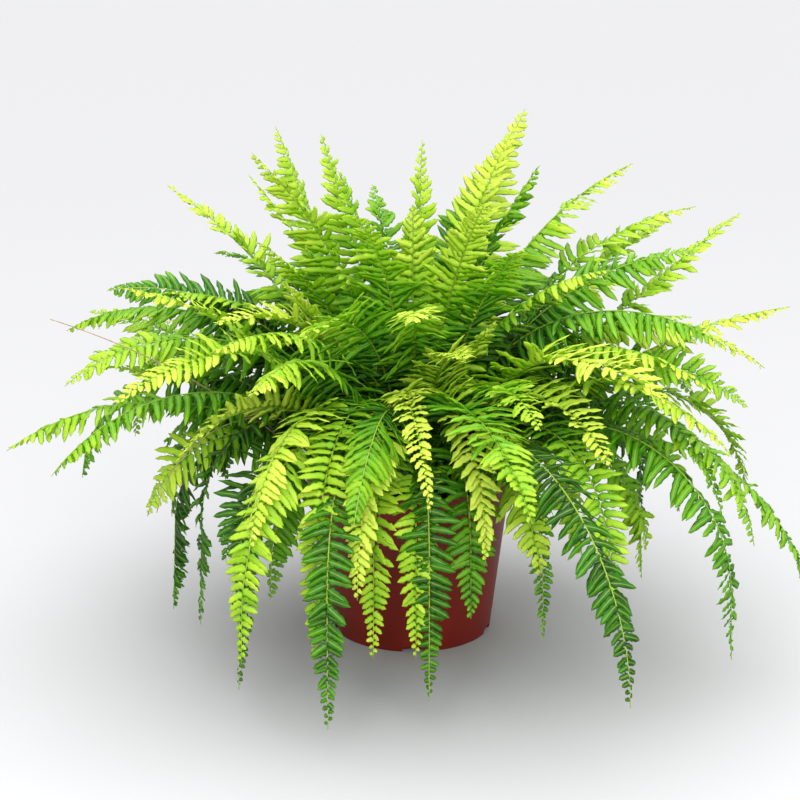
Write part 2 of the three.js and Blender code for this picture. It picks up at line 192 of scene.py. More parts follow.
# How far a frond in a tier may differ from the others, either way: azimuth, launch, bend, length,
# sweep, roll and leaflet length, in the order in which they are drawn
SPREAD = (12, 4, 25, 30, 25, 32, 4)
TONE_SPREAD = 0.3
SEED = 136
TRIES = 40
MARKS = (0.35, 0.5, 0.65, 0.8, 0.95)  # shares of a frond where its distance to others counts
NEAR = 25.0  # the distance under which it does
DRAW_FACTOR = 16807
DRAW_LIMIT = 2147483647

# Runners: azimuth, launch angle, bend, length, sweep
RUNNERS = (
    (210, 45, 30, 240, -10),
    (220, 70, 250, 200, -25),
    (45, 45, 190, 225, 20),
)
RUNNER_REACH = 55.0
RUNNER_RADIUS = 0.55
RUNNER_TAPER = 0.5
RUNNER_SIDES = 8

# Where leaflets stand on a frond: they start lower down the stalk than in the solids
LEAFLET_PITCH = 5.6
LEAFLETS_FROM = 0.14  # as a share of the frond
LEAFLETS_TO = 0.985  # as a share of the rest of it
LEAFLETS_FOOT = 0.4  # the length of the first ones, as a share of the longest
LEAFLETS_RISE = 2.2
LEAFLETS_CLOSER = 0.18  # how much closer they stand towards the tip
ROW_STARTS = (0.25, 0.75)  # the first leaflet on either side, as a share of the pitch

# How leaflets are set, in degrees: a pair is a range to draw from, a spread is a draw either way, and a
# ripple runs along the frond
YOUNG = 0.9  # the tone from which a frond is a young one, still folded
LEAF_FORWARD = 7.0
YOUNG_FORWARD = 12.0
TIP_FORWARD = 26.0
FORWARD_SPREAD = 13.0
FOLD = (-14, 30)
YOUNG_FOLD = (26, 46)
LEAF_DROOP = 12.0
DROOP_RIPPLE = 12.0
DROOP_SPREAD = 17.0
LEAF_TWIST = (-4, 22)
TWIST_RIPPLE = 10.0
TWIST_SPREAD = 28.0
TWIST_FADE = 0.4  # the share of a leaflet's twist that its tip loses
TIP_TWIST_SPREAD = 14.0
RIPPLE_RATE = (8, 18)  # radians over the frond
PHASE = (0, 6.28)  # radians, for ripples and waves

# A leaflet's sizes
LEAFLET_STATIONS = 8
LEAFLET_WIDTH = 5.0
NARROW_WIDTH = 2.2
WIDTH_GAIN = 0.22  # for each millimetre of length
LEAFLET_START = 0.4  # from the middle of the stem
LEAFLET_THICKNESS = 0.45
WIDTH_SPREAD = 0.08  # as a share of the width, either way
LENGTH_SPREAD = 0.12

# A leaflet's line, as shares of its length
CURL = (0.04, 0.2)  # of the tip, forward
HANG = (0.1, 0.22)  # of the tip, down
ARCH = 0.03

# A leaflet's outline: places are shares of its length, and sizes are shares of its width
NARROWING = 0.15
TIP_POWER = 7
TIP_ROUNDNESS = 0.7
FOOT_WIDTH = 0.5
SHOULDER = 0.12
LEAST_WIDTH = 0.05
TOOTH = 0.09
TEETH_FROM = 0.05
EAR = 0.26
EAR_PLACE = 0.09
EAR_SPAN = 0.07
AFT_EAR = 0.35  # as a share of the fore ear

# A leaflet's section: waves are shares of its width, the cup of half its width, and lifts of its thickness
WAVE = 0.13
WAVE_RATE = 17  # radians over the leaflet
AFT_WAVE_LAG = 2.4
INNER_WAVE = 0.45  # as a share of the wave at the edge
CUP = 0.1
FACE_LIFT = 0.3
RIB_LIFT = 0.1
BACK_DROP = 0.7
THINNING = 0.6  # from foot to tip
TIP_THICKNESS = 0.35  # the least
CORNER_ACROSS = (-1, -0.5, 0, 0.5, 1, 0)  # the corners' places from one edge to the other

# Tones of leaflets
TIP_TONE = 0.6  # from the frond's foot to its tip
TONE_JITTER = 0.06
# Painted shade: leaflets near the plant's heart and low down are darkened, standing in for the shade that
# the canopy casts on them
HEART = (0.0, 0.0, STALK_Z)
HEART_REACH = 190.0
HEART_PAINTED_SHADE = 0.5
LOW_FROM = 180.0
LOW_TO = 80.0
LOW_PAINTED_SHADE = 0.32

# Leaf colours by tone, and how far the tone is shifted by what is on a leaf
LEAF_STOPS = (
    (0.0, srgb(11, 62, 1)),
    (0.25, srgb(56, 128, 5)),
    (0.5, srgb(114, 178, 14)),
    (0.75, srgb(180, 216, 42)),
    (1.0, srgb(224, 238, 88)),
)
PATCH_TONE = 0.5
GRAIN_TONE = 0.16
LEAFLET_TIP_TONE = 0.16
VEIN_TONE = 0.05
TONE_SHIFT = -0.38
VEIN_COUNT = 13.0
VEIN_SLANT = 1.6
VEIN_HEIGHT = 0.3
MIDRIB_HALF = 0.14
MIDRIB_SHARE = 0.35
MIDRIB_COLOUR = srgb(190, 214, 96)
THROUGH_COLOUR = srgb(172, 228, 22)
THROUGH_TINT = 0.6
THROUGH_SHARE = 0.4
STALK_STOPS = (
    (0.0, srgb(92, 70, 34)),
    (0.12, srgb(120, 128, 48)),
    (0.5, srgb(150, 176, 62)),
    (1.0, srgb(170, 196, 72)),
)

# Other colours
POT_STOPS = ((0.3, srgb(98, 16, 4)), (0.7, srgb(122, 26, 8)))
POT_ROUGHNESS = (0.42, 0.6)
SOIL_STOPS = ((0.35, srgb(30, 20, 14)), (0.55, srgb(62, 44, 30)), (0.75, srgb(104, 80, 56)))
RUNNER_STOPS = ((0.3, srgb(126, 104, 66)), (0.7, srgb(172, 150, 104)))

# Scale per metre and detail of each noise, and strength and depth in metres of each bump
LEAF_PATCHES = (60, 2)
LEAF_GRAIN = (900, 3)
LEAF_BUMP = (0.35, 0.0004)
POT_CLOUDS = (18, 4)
POT_GRAIN = (1400, 2)
POT_BUMP = (0.25, 0.0003)
SOIL_GRAIN = (260, 6)
SOIL_BUMP = (0.9, 0.002)
RUNNER_FIBRES = (400, 4)

# Light: a wide soft one overhead, and a softbox above the camera, in metres, watts and degrees
OVERHEAD = {"strength": 3.8, "spread": 90, "turn": (-6, 0, 0)}
FRONT = {"power": 26, "size": 1.2, "place": (0.1, -1.45, 0.95), "turn": (60, 0, 4)}
WORLD_COLOUR = (1.0, 1.0, 1.02, 1)
WORLD_STRENGTH = 0.8
FLOOR_COLOUR = (0.41, 0.41, 0.417, 1)
FLOOR_REACH = 40.0  # metres from its middle to a side

# Camera, in metres and degrees
CAMERA_PLACE = (-0.0085, -1.205, 0.487)
CAMERA_PITCH = 15.1
CAMERA_LENS = 82.44
CAMERA_SENSOR = 36


def radians(degrees):
    return degrees * math.pi / 180


class Draws:
    """Seeded draws from 0 to 1."""

    def __init__(self, seed):
        self.seed = seed

    def next(self):
        self.seed = self.seed * DRAW_FACTOR % DRAW_LIMIT
        return self.seed / DRAW_LIMIT


class Frond:
    """A frond's angles and lengths, and where its stalk stands in the soil."""

    def __init__(self, azimuth, launch, bend, length, sweep, roll=0.0, leaf=0.0, tone=0.5, root=None):
        self.azimuth, self.launch, self.bend = azimuth, launch, bend
        self.length, self.sweep, self.roll = length, sweep, roll
        self.leaf, self.tone = leaf, tone
        self.root = root_of(azimuth, launch) if root is None else root


def out_from_middle(azimuth, reach):
    """A point on the soil."""
    return np.array([reach * math.cos(radians(azimuth)), reach * math.sin(radians(azimuth))])


def root_of(azimuth, launch):
    """Where a frond grows: upright ones in the middle, low ones near the soil's edge."""
    low = min(1.0, max(0.0, (UPRIGHT - launch) / (UPRIGHT - LOWEST)))
    return out_from_middle(azimuth, INNER_REACH + (ROOT_REACH - INNER_REACH) * math.sqrt(low))


def turned_about(axis, level, angle):
    """level turned about axis, to which it is square."""
    return level * math.cos(angle) + np.cross(axis, level) * math.sin(angle)


def curve_of(frond):
    """Points along a frond, with the frame of its blade at each: along, side and up."""
    step = frond.length / STEPS
    share = np.arange(STEPS + 1) * step / SPAN
    heading = np.radians(frond.azimuth + frond.sweep * share**SWEEP_POWER)
    climb = np.radians(np.maximum(STEEPEST, frond.launch - frond.bend * share**BEND_POWER))
    along = np.stack([np.cos(climb) * np.cos(heading), np.cos(climb) * np.sin(heading), np.sin(climb)], 1)
    level = np.stack([-np.sin(heading), np.cos(heading), np.zeros(STEPS + 1)], 1)
    side = turned_about(along, level, radians(frond.roll))
    up = np.cross(along, side)
    start = np.array([[frond.root[0], frond.root[1], STALK_Z]])
    points = np.concatenate([start, start + np.cumsum(along[:-1] * step, 0)])
    return points, along, side, up


def frames_at(curve, shares):
    """Interpolated frames at shares of the length, each with unit axes square to each other."""
    place = np.clip(np.asarray(shares, float), 0, 1) * STEPS
    low = np.minimum(STEPS - 1, place.astype(int))
    part = (place - low)[:, None]
    points, along, side, _ = (values[low] * (1 - part) + values[low + 1] * part for values in curve)
    along /= np.linalg.norm(along, axis=1, keepdims=True)
    side -= along * (side * along).sum(1, keepdims=True)
    side /= np.linalg.norm(side, axis=1, keepdims=True)
    return points, along, side, np.cross(along, side)


def leaf_share(u):
    """The leaflets' length at a share of the blade, as a share of the frond's longest."""
    tapering = (1 - np.clip(u, 0, 1) ** TAPER_POWER) ** TAPER_ROUNDNESS
    return np.minimum(1, LEAF_FOOT + LEAF_RISE * u) * np.maximum(LEAF_LEAST, tapering)


def marks_of(frond):
    """Points over a frond's blade, that tell how near another one comes."""
    shares = np.array(MARKS)
    points, _, side, _ = curve_of(frond)
    steps = np.floor(shares * STEPS + 0.5).astype(int)
    reach = frond.leaf * leaf_share((shares - STALK_SHARE) / (1 - STALK_SHARE))
    rib, beside = points[steps], side[steps] * reach[:, None]
    return np.concatenate([rib - beside, rib, rib + beside])


def crowding(marks, others):
    """How much a frond's blade comes near those of others."""
    gaps = np.sqrt(((marks[:, None] - others[None]) ** 2).sum(2))
    return (np.maximum(0, NEAR - gaps) ** 2).sum()


def tier_frond(draws, tier, azimuth, others):
    """One frond of a tier, the clearest of several seeded draws."""
    _, launch, bend, length = tier
    middle = (azimuth, launch, bend, length, 0, 0, TIER_LEAF)
    best = None
    for _ in range(TRIES):
        frond = Frond(*(value + size * (2 * draws.next() - 1) for value, size in zip(middle, SPREAD)))
        marks = marks_of(frond)
        crowd = crowding(marks, others)
        if best is None or crowd < best[2]:
            best = (frond, marks, crowd)
    return best[:2]


def all_fronds():
    """The fronds that show, and then the tiers, evenly round the plant but for the draws."""
    draws = Draws(SEED)
    rng = np.random.default_rng(SEED)
    fronds = [Frond(*row) for row in SHOWN]
    marks = np.concatenate([marks_of(frond) for frond in fronds])
    for number, tier in enumerate(TIERS):
        for i in range(tier[0]):
            azimuth = 360 / tier[0] * (i + (number % 2) / 2)
            frond, its = tier_frond(draws, tier, azimuth, marks)
            frond.tone = TIER_TONE + TONE_SPREAD * rng.uniform(-1, 1)
            fronds.append(frond)
            marks = np.concatenate([marks, its])
    return fronds


def place_roots(fronds):
    """Pushes the roots apart until each has its own place in the soil."""
    roots = [frond.root for frond in fronds]
    for _ in range(SPREAD_ROUNDS):
        for i, a in enumerate(roots):
            for b in roots[i + 1 :]:
                apart = b - a
                distance = math.hypot(*apart)
                if distance >= ROOT_SPACING or not distance:
                    continue
                push = apart / distance * (ROOT_SPACING - distance) / 2
                b += push
                a -= push
        for root in roots:
            reach = math.hypot(*root)
            if reach > ROOT_REACH:
                root *= ROOT_REACH / reach


class MeshParts:
    """Rings of corners and the faces between them, gathered for one mesh."""

    def __init__(self):
        self.corners, self.faces, self.leaf, self.stem = [], [], [], []
        self.count = 0

    def rings(self, grid, leaf, stem):
        """Closed tubes from a grid (tube, station, corner, xyz), with leaf (tube, station, corner, 3)."""
        tubes, stations, sides, _ = grid.shape
        base = self.count + np.arange(tubes)[:, None, None] * stations * sides
        station = np.arange(stations - 1)[None, :, None] * sides
        corner = np.arange(sides)[None, None, :]
        after = (corner + 1) % sides
        a = base + station + corner
        b = base + station + after
        quads = np.stack([a, b, b + sides, a + sides], -1).reshape(-1, 4)
        self.faces.extend(quads.tolist())
        first = base[:, 0, 0]
        last = first + (stations - 1) * sides
        ring = np.arange(sides)
        self.faces.extend((first[:, None] + ring[::-1]).tolist())
        self.faces.extend((last[:, None] + ring).tolist())
        self.corners.append(grid.reshape(-1, 3))
        self.leaf.append(leaf.reshape(-1, 3))
        self.stem.append(np.full(tubes * stations * sides, stem))
        self.count += tubes * stations * sides

    def mesh(self, name):
        """What is gathered, as one mesh with the two attributes that the materials read."""
        mesh = bpy.data.meshes.new(name)
        mesh.from_pydata((np.concatenate(self.corners) * MM).tolist(), [], self.faces)
        leaf = mesh.attributes.new("leaf", "FLOAT_VECTOR", "POINT")
        leaf.data.foreach_set("vector", np.concatenate(self.leaf).astype(np.float32).ravel())
        stem = mesh.attributes.new("stem", "FLOAT", "POINT")
        stem.data.foreach_set("value", np.concatenate(self.stem).astype(np.float32))
        mesh.shade_smooth()
        return mesh


def leaflet_share(share):
    """The fine leaflets' length at a share of the frond, as a share of its longest."""
    blade = np.clip((share - STALK_SHARE) / (1 - STALK_SHARE), 0, 1)
    tapering = np.maximum(LEAF_LEAST, (1 - blade**TAPER_POWER) ** TAPER_ROUNDNESS)
    return np.minimum(1, LEAFLETS_FOOT + LEAFLETS_RISE * (share - LEAFLETS_FROM)) * tapering


def leaflet_rows(frond):
    """The side of each leaflet, 1 or -1, and its place in its row from 0 to 1."""
    pairs = int(round(frond.length * (1 - LEAFLETS_FROM) / LEAFLET_PITCH))
    even = np.concatenate([(np.arange(pairs) + start) / pairs for start in ROW_STARTS])
    hand = np.concatenate([np.ones(pairs), -np.ones(pairs)])
    return hand, even + LEAFLETS_CLOSER * even * (1 - even)


def leaflet_axes(along, side, up, hand, lean, droop):
    """Each leaflet's own axes: out along it, up from its face, and across it to the frond's tip."""
    out = hand[:, None] * side
    direction = out * (np.cos(lean) * np.cos(droop))[:, None] + along * np.sin(lean)[:, None]
    direction -= up * np.sin(droop)[:, None]
    direction /= np.linalg.norm(direction, axis=1, keepdims=True)
    normal = up - direction * (up * direction).sum(1, keepdims=True)
    normal /= np.linalg.norm(normal, axis=1, keepdims=True)
    return direction, normal, hand[:, None] * np.cross(direction, normal)


def leaflet_section(v, width, phase):
    """Six corners round a leaflet at each share v of its length, as distances across it and up from it.

    They are the aft edge, halfway in, the midrib, halfway out, the fore edge and the back.
    """
    tapering = (1 - NARROWING * v) * (1 - v**TIP_POWER) ** TIP_ROUNDNESS
    shape = tapering * (FOOT_WIDTH + (1 - FOOT_WIDTH) * np.clip(v / SHOULDER, 0, 1))
    tooth = np.where(np.arange(LEAFLET_STATIONS) % 2 == 1, TOOTH, -TOOTH)
    half = 0.5 * width * np.maximum(shape, LEAST_WIDTH) * (1 + tooth[None, :] * (v > TEETH_FROM))
    ear = EAR * width * np.exp(-(((v - EAR_PLACE) / EAR_SPAN) ** 2))
    fore = half + ear
    aft = half + AFT_EAR * ear
    wave = WAVE * width * np.sqrt(np.sin(np.pi * v))
    fore_wave = wave * np.sin(WAVE_RATE * v + phase)
    aft_wave = wave * np.sin(WAVE_RATE * v + phase + AFT_WAVE_LAG)
    thick = np.maximum(TIP_THICKNESS, 1 - THINNING * v) * np.minimum(1, width / LEAFLET_WIDTH)
    thick *= LEAFLET_THICKNESS
    middle = np.zeros_like(fore)
    return (
        (-aft, aft_wave - CUP * aft),
        (-0.5 * aft, INNER_WAVE * aft_wave + CUP * aft + FACE_LIFT * thick),
        (middle, RIB_LIFT * thick),
        (0.5 * fore, INNER_WAVE * fore_wave + CUP * fore + FACE_LIFT * thick),
        (fore, fore_wave - CUP * fore),
        (middle, -BACK_DROP * thick),
    )


def tones_of(frond, points, u):
    """How light leaflets are: lighter to the frond's tip, and darkened by painted shade in the plant's
    heart and low down.
    """
    painted_heart_shade = np.clip(1 - np.linalg.norm(points - np.array(HEART), axis=1) / HEART_REACH, 0, 1)
    low = np.clip((LOW_FROM - points[:, 2]) / (LOW_FROM - LOW_TO), 0, 1)
    return frond.tone + TIP_TONE * (u - 0.5) - HEART_PAINTED_SHADE * painted_heart_shade - LOW_PAINTED_SHADE * low


def leaflets(parts, frond, curve, rng):
    """Both rows of a frond's leaflets: toothed, waved, eared at the foot and set like louvres."""
    hand, u = leaflet_rows(frond)
    share = LEAFLETS_FROM + (1 - LEAFLETS_FROM) * (LEAFLETS_TO * u)
    points, along, side, up = frames_at(curve, share)

    def jitter(amount):
        return amount * rng.uniform(-1, 1, len(u))

    ripple = np.sin(rng.uniform(*RIPPLE_RATE) * u + rng.uniform(*PHASE))
    reach = frond.leaf * leaflet_share(share) * (1 + jitter(LENGTH_SPREAD))
    width = np.minimum(LEAFLET_WIDTH, NARROW_WIDTH + WIDTH_GAIN * reach) * (1 + jitter(WIDTH_SPREAD))
    young = frond.tone >= YOUNG
    forward = LEAF_FORWARD + (YOUNG_FORWARD if young else 0)
    lean = np.radians(forward + TIP_FORWARD * u**2 + jitter(FORWARD_SPREAD))
    fold = rng.uniform(*(YOUNG_FOLD if young else FOLD))
    droop = np.radians(LEAF_DROOP - fold + DROOP_RIPPLE * ripple + jitter(DROOP_SPREAD))
    twist = np.radians(rng.uniform(*LEAF_TWIST) + TWIST_RIPPLE * ripple + jitter(TWIST_SPREAD))
    axes = leaflet_axes(along, side, up, hand, lean, droop)
    direction, normal, across = (axis[:, None, :] for axis in axes)

    v = np.linspace(0, 1, LEAFLET_STATIONS)[None, :]
    length = reach[:, None]
    curl = rng.uniform(*CURL, len(u))[:, None] * v**2
    hang = rng.uniform(*HANG, len(u))[:, None] * v**2 - ARCH * np.sin(np.pi * v)
    centre = points[:, None, :] + (LEAFLET_START + length * v)[..., None] * direction
    centre += (length * curl)[..., None] * across - (length * hang)[..., None] * normal
    turn = twist[:, None] * (1 - TWIST_FADE * v) + np.radians(jitter(TIP_TWIST_SPREAD))[:, None] * v
    turn = turn[..., None]
    broad = across * np.cos(turn) + normal * np.sin(turn)
    high = normal * np.cos(turn) - across * np.sin(turn)
    section = leaflet_section(v, width[:, None], rng.uniform(*PHASE, len(u))[:, None])
    grid = np.stack([centre + x[..., None] * broad + z[..., None] * high for x, z in section], 2)

    leaf = np.zeros(grid.shape)
    leaf[..., 0] = v[..., None]
    leaf[..., 1] = np.array(CORNER_ACROSS)
    # the tone holds the frond's own tone together with the painted shade of the plant's heart and low down
    leaf[..., 2] = (tones_of(frond, points, u) + jitter(TONE_JITTER))[:, None, None]
    left = hand > 0
    parts.rings(grid[left][:, :, ::-1], leaf[left][:, :, ::-1], 0.0)
    parts.rings(grid[~left], leaf[~left], 0.0)


def tube(parts, frames, half_width, half_depth, sides, shares):
    """One tapering stem with an oval section, through frames at shares of its length."""
    points, _, side, up = frames
    angle = np.arange(sides) * 2 * math.pi / sides
    ring = (
        side[:, None, :] * (half_width[:, None] * np.cos(angle))[..., None]
        + up[:, None, :] * (half_depth[:, None] * np.sin(angle))[..., None]
    )
    grid = (points[:, None, :] + ring)[None]
    leaf = np.zeros(grid.shape)
    leaf[..., 0] = shares[None, :, None]
    parts.rings(grid, leaf, 1.0)


def foot_frames(frond, curve):
    """The frames of a stem from its foot in the soil to its tip."""
    shares = np.linspace(0, 1, STEM_STEPS + 1)
    points, along, side, up = frames_at(curve, shares)
    foot = np.array([[frond.root[0], frond.root[1], ROOT_BOTTOM_Z]])
    return (
        np.concatenate([foot, points]),
        np.concatenate([[[0.0, 0.0, 1.0]], along]),
        np.concatenate([side[:1], side]),
        np.concatenate([up[:1], up]),
    ), np.concatenate([[0], shares])


def make_frond(index, frond, node):
    """One frond with its leaflets and its stem, in place of a solid."""
    rng = np.random.default_rng(LEAF_SEED + index)
    curve = curve_of(frond)
    parts = MeshParts()
    leaflets(parts, frond, curve, rng)
    frames, shares = foot_frames(frond, curve)
    thin = np.clip(shares / STALK_SHARE, 0, 1)
    width, depth = (
        stalk * (1 - thin) + thin * (rib * (1 - shares) + TIP_HALF * shares)
        for stalk, rib in zip(STALK_HALF, RIB_HALF)
    )
    tube(parts, frames, width, depth, STEM_SIDES, shares)
    name = f"fern_frond_{index:03d}"
    add(name, parts.mesh(name), LEAF, node)


def corner_tree():
    """The corners of the solid fronds in a tree, and the name of the node that each belongs to."""
    corners = [
        (piece.matrix_world @ vertex.co, name)
        for name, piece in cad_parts.items()
        if name.startswith("frond")
        for vertex in piece.data.vertices
    ]
    tree = KDTree(len(corners))
    for number, (corner, _) in enumerate(corners):
        tree.insert(corner, number)
    tree.balance()
    return tree, [name for _, name in corners]


def new_material(name):
    material = bpy.data.materials.new(name)
    material.use_nodes = True
    nodes = material.node_tree.nodes
    return material, nodes, material.node_tree.links, nodes["Principled BSDF"]


def feed(links, socket, value):
    """Gives a socket a number or a colour, or links it to another socket."""
    if isinstance(value, (tuple, float, int)):
        socket.default_value = value
    else:
        links.new(value, socket)


def math_node(nodes, links, operation, *values):
    node = nodes.new("ShaderNodeMath")
    node.operation = operation
    for socket, value in zip(node.inputs, values):
        feed(links, socket, value)
    return node.outputs[0]


def ramp_node(nodes, links, value, stops):
    """A colour for each value, between stops of a position and a colour."""
    node = nodes.new("ShaderNodeValToRGB")
    elements = node.color_ramp.elements
    elements[0].position, elements[0].color = stops[0]
    elements[1].position, elements[1].color = stops[-1]
    for position, colour in stops[1:-1]:
        elements.new(position).color = colour
    links.new(value, node.inputs[0])
    return node.outputs[0]


def noise_node(nodes, links, place, scale, detail):
    node = nodes.new("ShaderNodeTexNoise")
    node.inputs["Scale"].default_value = scale
    node.inputs["Detail"].default_value = detail
    links.new(place, node.inputs["Vector"])
    return node.outputs["Fac"]


def mix_colour(nodes, links, share, a, b):
    node = nodes.new("ShaderNodeMix")
    node.data_type = "RGBA"
    for socket, value in ((node.inputs["Factor"], share), (node.inputs[6], a), (node.inputs[7], b)):
        feed(links, socket, value)
    return node.outputs[2]


def add_bump(nodes, links, shader, height, strength, depth):
    bump = nodes.new("ShaderNodeBump")
    bump.inputs["Strength"].default_value = strength
    bump.inputs["Distance"].default_value = depth
    links.new(height, bump.inputs["Height"])
    links.new(bump.outputs[0], shader.inputs["Normal"])


def leaf_material():
    """Green by tone, with patches, veins and a pale midrib. Stems have colours of their own."""
    material, nodes, links, shader = new_material("fern_leaf")
    attribute = nodes.new("ShaderNodeAttribute")
    attribute.attribute_name = "leaf"
    split = nodes.new("ShaderNodeSeparateXYZ")
    links.new(attribute.outputs["Vector"], split.inputs[0])
    # tone holds the frond's own tone together with the painted shade of the plant's heart and low down
    v, across, tone = split.outputs
    place = nodes.new("ShaderNodeTexCoord").outputs["Object"]
    patches = noise_node(nodes, links, place, *LEAF_PATCHES)
    grain = noise_node(nodes, links, place, *LEAF_GRAIN)
    side = math_node(nodes, links, "ABSOLUTE", across)
    slant = math_node(nodes, links, "MULTIPLY", side, -VEIN_SLANT)
    veins = math_node(nodes, links, "MULTIPLY_ADD", v, VEIN_COUNT, slant)
    vein = math_node(nodes, links, "SINE", math_node(nodes, links, "MULTIPLY", veins, 2 * math.pi))
    shifts = ((patches, PATCH_TONE), (v, LEAFLET_TIP_TONE), (grain, GRAIN_TONE), (vein, VEIN_TONE))
    level = math_node(nodes, links, "ADD", tone, TONE_SHIFT)
    for value, amount in shifts:
        level = math_node(nodes, links, "MULTIPLY_ADD", value, amount, level)
    green = ramp_node(nodes, links, level, LEAF_STOPS)
    midrib = math_node(nodes, links, "LESS_THAN", side, MIDRIB_HALF)
    shows = math_node(nodes, links, "MULTIPLY", midrib, MIDRIB_SHARE)
    ribbed = mix_colour(nodes, links, shows, green, MIDRIB_COLOUR)
    stem = nodes.new("ShaderNodeAttribute")
    stem.attribute_name = "stem"
    stalk = ramp_node(nodes, links, v, STALK_STOPS)
    colour = mix_colour(nodes, links, stem.outputs["Fac"], ribbed, stalk)
    links.new(colour, shader.inputs["Base Color"])
    shader.inputs["Roughness"].default_value = 0.42
    shader.inputs["Specular IOR Level"].default_value = 0.33
    height = math_node(nodes, links, "MULTIPLY_ADD", vein, VEIN_HEIGHT, grain)
    add_bump(nodes, links, shader, height, *LEAF_BUMP)
    through = nodes.new("ShaderNodeBsdfTranslucent")
    links.new(mix_colour(nodes, links, THROUGH_TINT, colour, THROUGH_COLOUR), through.inputs["Color"])
    both = nodes.new("ShaderNodeMixShader")
    both.inputs["Fac"].default_value = THROUGH_SHARE
    links.new(shader.outputs[0], both.inputs[1])
    links.new(through.outputs[0], both.inputs[2])
    links.new(both.outputs[0], nodes["Material Output"].inputs["Surface"])
    return material


def pot_material():
    """Moulded plastic, a little cloudy in colour and gloss, with a fine grain."""
    material, nodes, links, shader = new_material("pot_plastic")
    place = nodes.new("ShaderNodeTexCoord").outputs["Object"]
    clouds = noise_node(nodes, links, place, *POT_CLOUDS)
    grain = noise_node(nodes, links, place, *POT_GRAIN)
    links.new(ramp_node(nodes, links, clouds, POT_STOPS), shader.inputs["Base Color"])
    shader.inputs["Specular IOR Level"].default_value = 0.3
    rough = nodes.new("ShaderNodeMapRange")
    links.new(clouds, rough.inputs["Value"])
    rough.inputs["To Min"].default_value, rough.inputs["To Max"].default_value = POT_ROUGHNESS
    links.new(rough.outputs[0], shader.inputs["Roughness"])
    add_bump(nodes, links, shader, grain, *POT_BUMP)
    return material


def soil_material():
    """Dark crumbly potting mix."""
    material, nodes, links, shader = new_material("potting_soil")
    place = nodes.new("ShaderNodeTexCoord").outputs["Object"]
    grain = noise_node(nodes, links, place, *SOIL_GRAIN)
    links.new(ramp_node(nodes, links, grain, SOIL_STOPS), shader.inputs["Base Color"])
    shader.inputs["Roughness"].default_value = 0.95
    add_bump(nodes, links, shader, grain, *SOIL_BUMP)
    return material


def runner_material():
    """A dry brown stem."""
    material, nodes, links, shader = new_material("runner_stem")
    place = nodes.new("ShaderNodeTexCoord").outputs["Object"]
    fibres = noise_node(nodes, links, place, *RUNNER_FIBRES)
    links.new(ramp_node(nodes, links, fibres, RUNNER_STOPS), shader.inputs["Base Color"])
    shader.inputs["Roughness"].default_value = 0.6
    return material


def rounded(points):
    """A polyline with each inner corner rounded off."""
    points = [np.array(point, float) for point in points]
    made = [points[0]]
    for before, corner, after in zip(points, points[1:], points[2:]):
        into, away = before - corner, after - corner
        lengths = np.linalg.norm(into), np.linalg.norm(away)
        cut = min(EDGE_RADIUS, min(lengths) / SIDE_PART)
        start = corner + into / lengths[0] * cut
        end = corner + away / lengths[1] * cut
        for i in range(EDGE_STEPS + 1):
            t = i / EDGE_STEPS
            made.append((1 - t) ** 2 * start + 2 * t * (1 - t) * corner + t**2 * end)
    made.append(points[-1])
    return made


def lathe(name, profile, segments):
    """A closed solid turned about Z from (radius, z) points that start and end on the axis."""
    inner = profile[1:-1]
    angle = np.arange(segments) * 2 * math.pi / segments
    corners = [(0, 0, profile[0][1])]
    for r, z in inner:
        corners.extend((r * math.cos(a), r * math.sin(a), z) for a in angle)
    corners.append((0, 0, profile[-1][1]))
    faces = []
    last = len(corners) - 1
    for j in range(segments):
        k = (j + 1) % segments
        faces.append((0, 1 + k, 1 + j))
        faces.append((last, last - segments + j, last - segments + k))
        for i in range(len(inner) - 1):
            a = 1 + i * segments
            faces.append((a + j, a + k, a + segments + k, a + segments + j))
    mesh = bpy.data.meshes.new(name)
    mesh.from_pydata((np.array(corners) * MM).tolist(), [], faces)
    return mesh


def add(name, mesh, material, node):
    """A piece of the object in place of a solid."""
    piece = bpy.data.objects.new(name, mesh)
    bpy.context.scene.collection.objects.link(piece)
    if material.name not in mesh.materials:
        mesh.materials.append(material)
    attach(piece, "root")
    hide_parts(node)
    return piece


def slot_cutters():
    """The five arches cut into the lower edge of the pot."""
    corners, faces = [], []
    arch = [(-SLOT_WIDTH / 2, -CUT_MARGIN), (SLOT_WIDTH / 2, -CUT_MARGIN)]
    for i in range(SLOT_STEPS + 1):
        a = math.pi * i / SLOT_STEPS
        arch.append((SLOT_WIDTH / 2 * math.cos(a), SLOT_HEIGHT / 2 * (1 + math.sin(a))))
    for s in range(SLOT_COUNT):
        turn = Matrix.Rotation(s * 2 * math.pi / SLOT_COUNT, 3, "Z")
        base = len(corners)
        for y in (-BASE_RADIUS - SLOT_DEPTH, -BASE_RADIUS + SLOT_DEPTH):
            corners.extend((turn @ Vector((x, y, z))) * MM for x, z in arch)
        n = len(arch)
        faces.append([base + i for i in range(n)])
        faces.append([base + n + i for i in reversed(range(n))])
        for i in range(n):
            j = (i + 1) % n
            faces.append([base + j, base + i, base + n + i, base + n + j])
    mesh = bpy.data.meshes.new("slots")
    mesh.from_pydata([tuple(c) for c in corners], [], faces)
    return mesh


